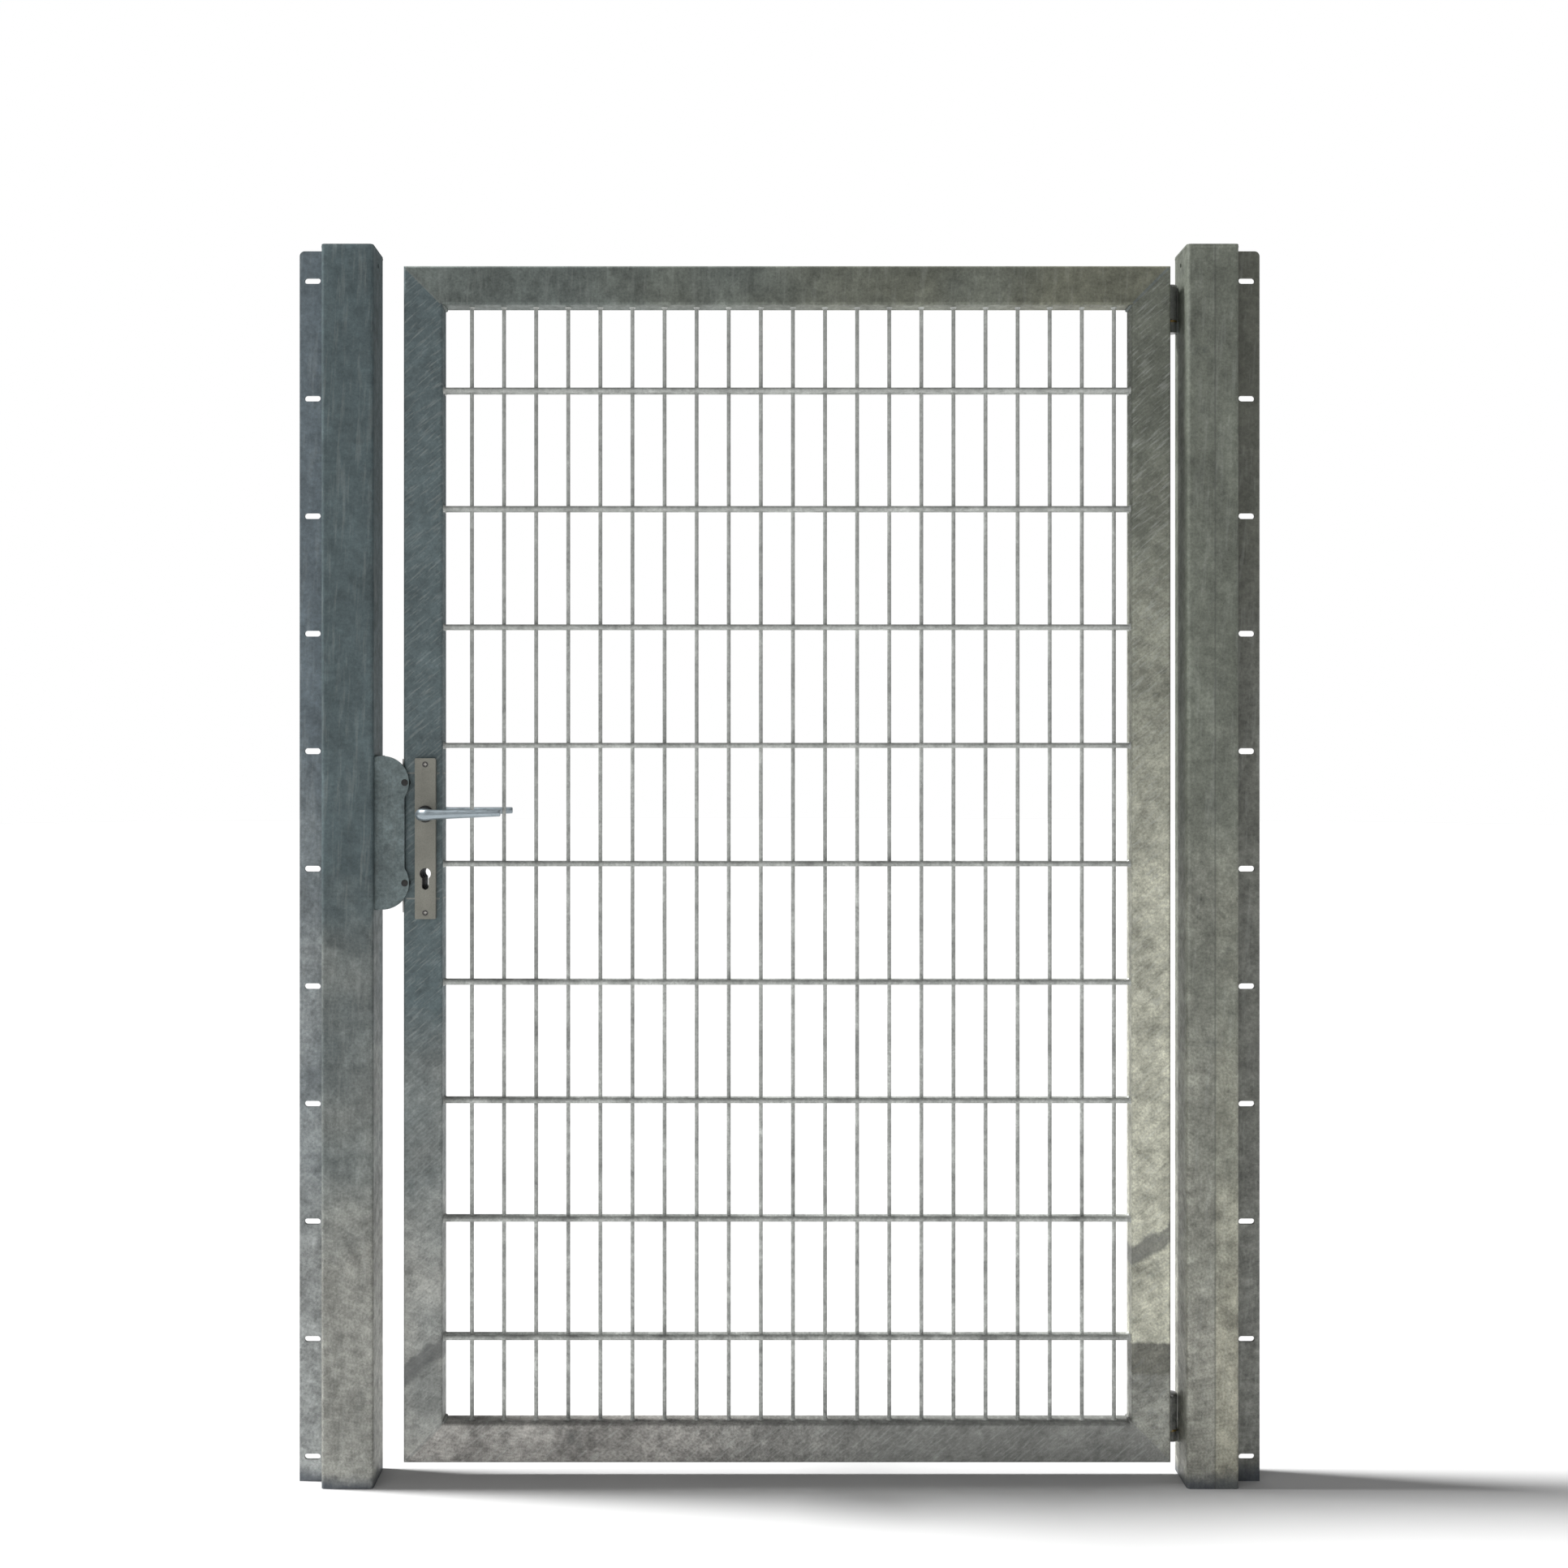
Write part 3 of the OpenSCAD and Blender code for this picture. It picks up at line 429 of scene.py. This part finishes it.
def turned_brass(name):
    """Brass with fine turning lines, browned where it is old."""
    material, tree, shader = new_material(name)
    at = place_of(tree)
    age = noise(tree, at, 70.0, 4.0, 0.6)
    rings = noise(tree, stretched(tree, at, (30.0, 30.0, 2400.0)), 1.0, 1.0)
    clean, browned = (0.50, 0.36, 0.13, 1.0), (0.24, 0.16, 0.07, 1.0)
    base = blend_colour(tree, spread(tree, age, 0.35, 0.7), clean, browned)
    feed(tree, shader.inputs["Base Color"], base)
    feed(tree, shader.inputs["Roughness"], spread(tree, age, 0.3, 0.7, 0.28, 0.5))
    shader.inputs["Metallic"].default_value = 0.95
    ripple(tree, shader, rings, 0.00006, 0.6)
    return material


hinge_zinc = galvanised("hinge_zinc", (0.155, 0.163, 0.150), (0.218, 0.222, 0.210), streaks=0.05,
                        spangle=0.04)
pin_steel = zinc_plated("pin_steel", 0.36, 0.0, 0.34)
brass = turned_brass("turned_brass")
finish_node(brass, "hinge_washers", "hinge_bushes")
lug_foot_half, knuckle_weld_y = 6 * MM, (4 * MM, 16 * MM)
lug_bead, knuckle_bead, hinge_ripple = 2.6 * MM, 2.4 * MM, 2.2 * MM
for which in ("upper", "lower"):
    eased(f"{which}_hinge_lug", 0.5 * MM, hinge_zinc)
    eased(f"{which}_knuckle", 0.5 * MM, hinge_zinc)
    eased(f"{which}_hinge_pin", 0.3 * MM, pin_steel)
    lug_low, lug_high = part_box(f"{which}_hinge_lug")
    knuckle_low, knuckle_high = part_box(f"{which}_knuckle")
    lug_bm, knuckle_bm = bmesh.new(), bmesh.new()
    axis_y = (lug_low.y + lug_high.y) / 2
    lug_x, knuckle_x = lug_high.x - 0.4 * MM, knuckle_low.x + 0.4 * MM
    for y in (axis_y - lug_foot_half, axis_y + lug_foot_half):
        bead(lug_bm, (lug_x, y, lug_low.z + 1 * MM), (lug_x, y, lug_high.z - 1 * MM), lug_bead, hinge_ripple)
    for y in knuckle_weld_y:
        bead(knuckle_bm, (knuckle_x, y, knuckle_low.z + 2 * MM),
             (knuckle_x, y, knuckle_high.z - 2 * MM), knuckle_bead, hinge_ripple)
    piece(f"{which}_lug_weld", lug_bm, weld_zinc, "posts")
    piece(f"{which}_knuckle_weld", knuckle_bm, weld_zinc, "leaf")


# ---- Leaf frame ----
# Four lengths of oblong steel tube mitred at the corners, welded and ground nearly flush.
# The latch stile is parted for a welded-in lock box. The leaf is galvanised in one piece.

scratches = (300.0, 60.0, 34.0)
latch_stile_zinc = galvanised("latch_stile_zinc", (0.112, 0.149, 0.157), (0.440, 0.430, 0.395),
                              (-0.05, 0.75), streaks=0.22, slope=50, dark_band=(-0.585, 0.16), marks=scratches)
hinge_stile_zinc = galvanised("hinge_stile_zinc", (0.156, 0.168, 0.138), (0.515, 0.515, 0.423),
                              (0.77, 1.68), streaks=0.35, slope=50, dark_band=(0.58, 0.374),
                              cloudy=(1.2, 1.8), marks=scratches, darker_below=0.168)
top_rail_zinc = galvanised("top_rail_zinc", (0.180, 0.186, 0.142), (0.145, 0.168, 0.156),
                           (-0.3, 0.4), cloudy=(1.4, 1.4), axis=0)
bottom_rail_zinc = galvanised("bottom_rail_zinc", (0.267, 0.272, 0.256), (0.307, 0.297, 0.278),
                              (-0.3, 0.2), streaks=0.3, slope=50, cloudy=(1.1, 2.2), axis=0,
                              marks=scratches)
finish_node(latch_stile_zinc, "lower_latch_stile", "lock_box", "upper_latch_stile")
finish_node(hinge_stile_zinc, "hinge_stile")
finish_node(top_rail_zinc, "top_rail")
finish_node(bottom_rail_zinc, "bottom_rail")

top_low, top_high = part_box("top_rail")
box_low, box_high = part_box("lock_box")
leaf_left, leaf_right = top_low.x, top_high.x
leaf_bottom, leaf_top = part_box("bottom_rail")[0].z, top_high.z
tube = top_high.z - top_low.z
front, back = top_low.y, top_high.y
corner_round = 4 * MM
mitre_half_width, mitre_proud = 1.9 * MM, 0.14 * MM
butt_half_width, butt_proud = 1.2 * MM, 0.12 * MM
fillet_radius, fillet_ripple, fillet_end = 3.6 * MM, 2.6 * MM, 5 * MM
bm = bmesh.new()
for x, step_x in ((leaf_left, 1), (leaf_right, -1)):
    for z, step_z in ((leaf_top, -1), (leaf_bottom, 1)):
        for y, out in ((front, -1), (back, 1)):
            ridge(bm, (x + step_x * corner_round, y, z + step_z * corner_round),
                  (x + step_x * (tube - 2 * MM), y, z + step_z * (tube - 2 * MM)),
                  mitre_half_width, mitre_proud, (0, out, 0))
        inner = Vector((x + step_x * (tube + 0.6 * MM), 0, z + step_z * (tube + 0.6 * MM)))
        bead(bm, inner + Vector((0, front + fillet_end, 0)), inner + Vector((0, back - fillet_end, 0)),
             fillet_radius, fillet_ripple)
for z in (box_low.z, box_high.z):
    for y, out in ((front, -1), (back, 1)):
        ridge(bm, (leaf_left + corner_round, y, z), (leaf_left + tube - corner_round, y, z),
              butt_half_width, butt_proud, (0, out, 0))
    ridge(bm, (leaf_left + tube, front + corner_round, z), (leaf_left + tube, back - corner_round, z),
          butt_half_width, butt_proud, (1, 0, 0))
piece("leaf_frame_seams", bm, weld_zinc, "leaf")


# ---- Rod mat ----
# Upright rods between pairs of cross rods, spot-welded where they touch, with every
# rod end welded to the frame. The zinc gathers in a small collar round each weld.

def rod_collar(bm, centre, inward, radius):
    """The squat fillet of weld round a rod's end; its wide side lies on the frame."""
    turn = Vector(inward).to_track_quat("Z", "Y").to_matrix().to_4x4()
    height = (2.6 + 0.8 * draw.random()) * MM
    foot_radius = radius + (1.9 + 0.5 * draw.random()) * MM
    middle = Vector(centre) + Vector(inward) * (height / 2 - 0.3 * MM)
    bmesh.ops.create_cone(bm, cap_ends=True, segments=14, radius1=foot_radius,
                          radius2=radius + 0.15 * MM, depth=height,
                          matrix=Matrix.Translation(middle) @ turn)


rod_zinc = galvanised("rod_zinc", (0.430, 0.445, 0.425), (0.430, 0.445, 0.425), spangle=0.02)
finish_node(rod_zinc, "mat_upright_rods", "mat_front_rods", "mat_rear_rods")
upright_low, upright_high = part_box("mat_upright_rods")
cross_low, cross_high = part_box("mat_front_rods")
upright_radius = (upright_high.y - upright_low.y) / 2
cross_radius = (cross_high.y - cross_low.y) / 2
upright_count, cross_count = 21, 9
upright_x = [upright_low.x + upright_radius + i * (upright_high.x - upright_low.x - 2 * upright_radius)
             / (upright_count - 1) for i in range(upright_count)]
cross_z = [cross_low.z + cross_radius + i * (cross_high.z - cross_low.z - 2 * cross_radius)
           / (cross_count - 1) for i in range(cross_count)]
cross_depth = -(cross_low.y + cross_high.y) / 2

draw = random.Random(4)
bm = bmesh.new()
for x in upright_x:
    for z in cross_z:
        for side in (-1, 1):
            size = (2.9 + 0.7 * draw.random()) * MM
            shape = Matrix.Diagonal((size, 0.72 * size, 1.05 * size, 1.0))
            where = Matrix.Translation((x + draw.uniform(-0.4, 0.4) * MM, side * upright_radius,
                                        z + draw.uniform(-0.8, 0.2) * MM))
            bmesh.ops.create_uvsphere(bm, u_segments=8, v_segments=5, radius=1.0, matrix=where @ shape)
piece("rod_crossing_welds", bm, rod_zinc, "leaf")

bm = bmesh.new()
for x in upright_x:
    rod_collar(bm, (x, 0, upright_low.z), (0, 0, 1), upright_radius)
    rod_collar(bm, (x, 0, upright_high.z), (0, 0, -1), upright_radius)
for z in cross_z:
    for y in (-cross_depth, cross_depth):
        rod_collar(bm, (cross_low.x, y, z), (1, 0, 0), cross_radius)
        rod_collar(bm, (cross_high.x, y, z), (-1, 0, 0), cross_radius)
piece("rod_end_welds", bm, rod_zinc, "leaf")


# ---- Lock ----
# A mortice lock pushed into the stile from its edge: a folded sheet tray and cover,
# greased inside, behind a zinc-plated forend held by two countersunk screws.

def greased_steel(name):
    """Bare pressed steel under a thin brown film of old grease."""
    material, tree, shader = new_material(name)
    at = place_of(tree)
    film = noise(tree, at, 38.0, 5.0, 0.6)
    bare, oiled = (0.16, 0.165, 0.17, 1.0), (0.06, 0.045, 0.03, 1.0)
    base = blend_colour(tree, spread(tree, film, 0.4, 0.7), bare, oiled)
    feed(tree, shader.inputs["Base Color"], base)
    feed(tree, shader.inputs["Roughness"], spread(tree, film, 0.4, 0.7, 0.42, 0.22))
    shader.inputs["Metallic"].default_value = 0.8
    ripple(tree, shader, noise(tree, at, 700.0, 2.0), 0.00005, 0.4)
    return material


greased = greased_steel("greased_steel")
forend_zinc = zinc_plated("forend_zinc", 0.5, 0.01, 0.3)
finish_node(greased, "lock_case", "lock_cover")
finish_node(forend_zinc, "forend_screws")
eased("lock_forend", 0.25 * MM, forend_zinc)
eased("latch_bolt", 0.3 * MM, strike_zinc)
eased("dead_bolt", 0.5 * MM, strike_zinc)
finish_node(brass, "lock_follower")

coil = eased("latch_spring", 0.0, forend_zinc, crease=60)
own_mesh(coil)


# ---- Handle plates ----
# Pressed aluminium shells, anodised a warm grey and clipped over steel base plates.
# Countersunk cross-recess screws from the front turn into sleeves from the rear.

def anodised(name, colour, lines_scale, roughness, metallic):
    """Satin anodised aluminium with a drawn or blasted grain."""
    material, tree, shader = new_material(name)
    at = place_of(tree)
    grain = noise(tree, stretched(tree, at, lines_scale), 1.0, 3.0, 0.6)
    cloud = noise(tree, at, 26.0, 3.0)
    base = blend_colour(tree, 1.0, colour, grey_of(tree, cloud, 0.3, 0.7, 0.90, 1.10), "MULTIPLY")
    base = blend_colour(tree, 1.0, base, grey_of(tree, grain, 0.3, 0.7, 0.88, 1.12), "MULTIPLY")
    feed(tree, shader.inputs["Base Color"], base)
    feed(tree, shader.inputs["Roughness"], spread(tree, grain, 0.3, 0.7, roughness - 0.05, roughness + 0.08))
    shader.inputs["Metallic"].default_value = metallic
    ripple(tree, shader, grain, 0.00006, 0.5)
    return material


def dark_screw_with_glint(name, face_y):
    """A dark screw head whose cross recess is painted bright, a painted highlight of the sun glinting in it.
    """
    material, tree, shader = new_material(name)
    at = place_of(tree)
    depth = add(tree, "SeparateXYZ", {0: at}).outputs[1]
    haze = noise(tree, at, 500.0, 3.0)
    head = blend_colour(tree, spread(tree, haze, 0.3, 0.7), tone(0.05, 0.03), tone(0.13, 0.03))
    # painted highlight: the cross recess below the head's face is painted near white
    recess_glint = spread(tree, depth, face_y + 0.15 * MM, face_y + 0.4 * MM)
    base = blend_colour(tree, recess_glint, head, tone(0.85, 0.04))
    feed(tree, shader.inputs["Base Color"], base)
    feed(tree, shader.inputs["Roughness"], spread(tree, haze, 0.3, 0.7, 0.28, 0.45))
    shader.inputs["Metallic"].default_value = 0.6
    ripple(tree, shader, haze, 0.00005, 0.4)
    return material


plate_finish = anodised("anodised_plate", (0.254, 0.251, 0.218, 1.0), (600.0, 600.0, 420.0), 0.48, 0.5)
screw_head = dark_screw_with_glint("screw_head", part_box("handle_plate_screws")[0].y)
sleeve_zinc = zinc_plated("sleeve_zinc", 0.30, 0.05, 0.25)
ring_plastic = dull_black("ring_plastic", 0.012, 0.42, 900.0)
for side in ("front", "rear"):
    eased(f"{side}_handle_plate", 0.8 * MM, plate_finish, 3)
    finish_node(greased, f"{side}_base_plate")
    eased(f"{side}_lever_bush", 0.25 * MM, ring_plastic)
finish_node(screw_head, "handle_plate_screws")
finish_node(sleeve_zinc, "handle_plate_sleeves")


# ---- Levers ----
# Cast aluminium levers, polished and anodised: a round neck turns through a smooth elbow
# into a tapering grip with a flat end, whose top edge stays level.

def hoop(centre, heading, wide, tall):
    """The frame of one oval section: its middle, the way the lever runs there, and its half sizes."""
    ahead = Vector(heading).normalized()
    up = Vector((0, 0, 1))
    side = up.cross(ahead)
    turn = Matrix((side, up, ahead)).transposed().to_4x4()
    return Matrix.Translation(centre) @ turn @ Matrix.Diagonal((wide, tall, 1.0, 1.0))


def loft(bm, hoops):
    """A closed skin through a row of oval sections."""
    ring = bmesh.ops.create_circle(bm, cap_ends=True, segments=32, radius=1.0, matrix=hoops[0])["verts"]
    face = ring[0].link_faces[0]
    for before, after in zip(hoops, hoops[1:]):
        grown = bmesh.ops.extrude_discrete_faces(bm, faces=[face])["faces"][0]
        bmesh.ops.transform(bm, matrix=after @ before.inverted(), verts=grown.verts[:])
        face = grown


def lever_sections(root, outward):
    """The oval sections of a lever, from inside its bush to its tip, in order."""
    # out from the middle of the gate, radius
    neck = [(22.3, 9.0), (29.2, 9.0), (29.5, 10.2), (30.4, 10.35), (31.6, 10.0), (34.0, 9.2),
            (38.0, 8.75), (46.0, 8.7), (54.0, 8.8), (60.0, 9.0), (63.4, 9.1)]
    for out, radius in neck:
        yield hoop(root + Vector((0, outward * out * MM, 0)), (0, outward, 0), radius * MM, radius * MM)
    bend, elbow_out, elbow_steps = 9.6, 73.0, 8
    for i in range(1, elbow_steps + 1):
        share = i / elbow_steps
        angle = math.radians(90) * share
        out = elbow_out - bend + bend * math.sin(angle)
        right = bend - bend * math.cos(angle)
        wide, tall = 9.1 - 0.7 * share, 9.1 - 0.2 * share
        yield hoop(root + Vector((right * MM, outward * out * MM, 0)),
                   (math.sin(angle), outward * math.cos(angle), 0), wide * MM, tall * MM)
    # right from the spindle, half depth, half height, rise of the middle
    grip = [(13.0, 8.0, 8.5, 0.1), (17.0, 7.7, 7.9, 0.2), (22.0, 7.4, 7.5, 0.35), (30.0, 7.1, 7.2, 0.6),
            (45.0, 6.7, 6.85, 1.0), (60.0, 6.3, 6.5, 1.35), (75.0, 5.9, 6.15, 1.75), (90.0, 5.5, 5.8, 2.1),
            (105.0, 5.2, 5.45, 2.45), (118.0, 4.9, 5.15, 2.75), (120.3, 4.75, 5.0, 2.8),
            (121.3, 4.4, 4.65, 2.8), (121.8, 3.8, 4.05, 2.8)]
    for right, wide, tall, rise in grip:
        yield hoop(root + Vector((right * MM, outward * elbow_out * MM, rise * MM)), (1, 0, 0),
                   wide * MM, tall * MM)


lever_finish = anodised("brushed_lever", (0.350, 0.405, 0.440, 1.0), (60.0, 900.0, 900.0), 0.30, 0.85)
spindle_low, spindle_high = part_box("lever_spindle")
spindle_root = Vector(((spindle_low.x + spindle_high.x) / 2, 0, (spindle_low.z + spindle_high.z) / 2))
for side, outward in (("front", -1), ("rear", 1)):
    bm = bmesh.new()
    loft(bm, list(lever_sections(spindle_root, outward)))
    bmesh.ops.recalc_face_normals(bm, faces=bm.faces)
    piece(f"{side}_lever_cast", bm, lever_finish, "levers", [f"{side}_lever"], 28)
finish_node(greased, "lever_spindle", "lever_grub_screws")


# ---- Floor, light and camera ----
# The gate stands on a plain pale floor before a white backdrop, with the sun high on its
# left side. A wide soft light from the left front does the work of the open sky there.

def pale_floor(name):
    """Smooth pale concrete."""
    material, tree, shader = new_material(name)
    at = place_of(tree)
    cloud = noise(tree, at, 1.5, 4.0)
    base = blend_colour(tree, spread(tree, cloud, 0.3, 0.7), tone(0.55), tone(0.58))
    feed(tree, shader.inputs["Base Color"], base)
    shader.inputs["Roughness"].default_value = 0.9
    return material


bm = bmesh.new()
bmesh.ops.create_circle(bm, cap_ends=True, segments=64, radius=30.0)
mesh = bpy.data.meshes.new("floor")
bm.to_mesh(mesh)
bm.free()
mesh.materials.append(pale_floor("pale_floor"))
floor = bpy.data.objects.new("floor", mesh)
bpy.context.scene.collection.objects.link(floor)

scene = bpy.context.scene
world = bpy.data.worlds.new("open_shade")
world.use_nodes = True
scene.world = world
sky = world.node_tree.nodes["Background"]
sky.inputs["Color"].default_value = (1.0, 1.0, 1.0, 1.0)
seen = add(world.node_tree, "LightPath").outputs["Is Camera Ray"]
shade_light, backdrop_white = 0.25, 1.0
strength = spread(world.node_tree, seen, 0, 1, shade_light, backdrop_white)
feed(world.node_tree, sky.inputs["Strength"], strength)

for name, strength, width, shines in (("side_sun", 6.0, 0.12, (0.53, -0.05, -0.845)),
                                      ("front_fill", 0.46, 1.2, (0.55, 0.75, -0.35))):
    light = bpy.data.lights.new(name, "SUN")
    light.energy = strength
    light.angle = width
    lamp = bpy.data.objects.new(name, light)
    lamp.rotation_euler = Vector(shines).to_track_quat("-Z", "Y").to_euler()
    scene.collection.objects.link(lamp)

lens = bpy.data.cameras.new("camera")
lens.lens = 40.38
lens.sensor_width = 36.0
lens.shift_x = 0.0295
lens.shift_y = -0.016
camera = bpy.data.objects.new("camera", lens)
camera.location = (-0.065, -2.74, 1.121)
camera.rotation_euler = (math.radians(90), 0, 0)
scene.collection.objects.link(camera)
scene.camera = camera
scene.view_settings.view_transform = "Standard"
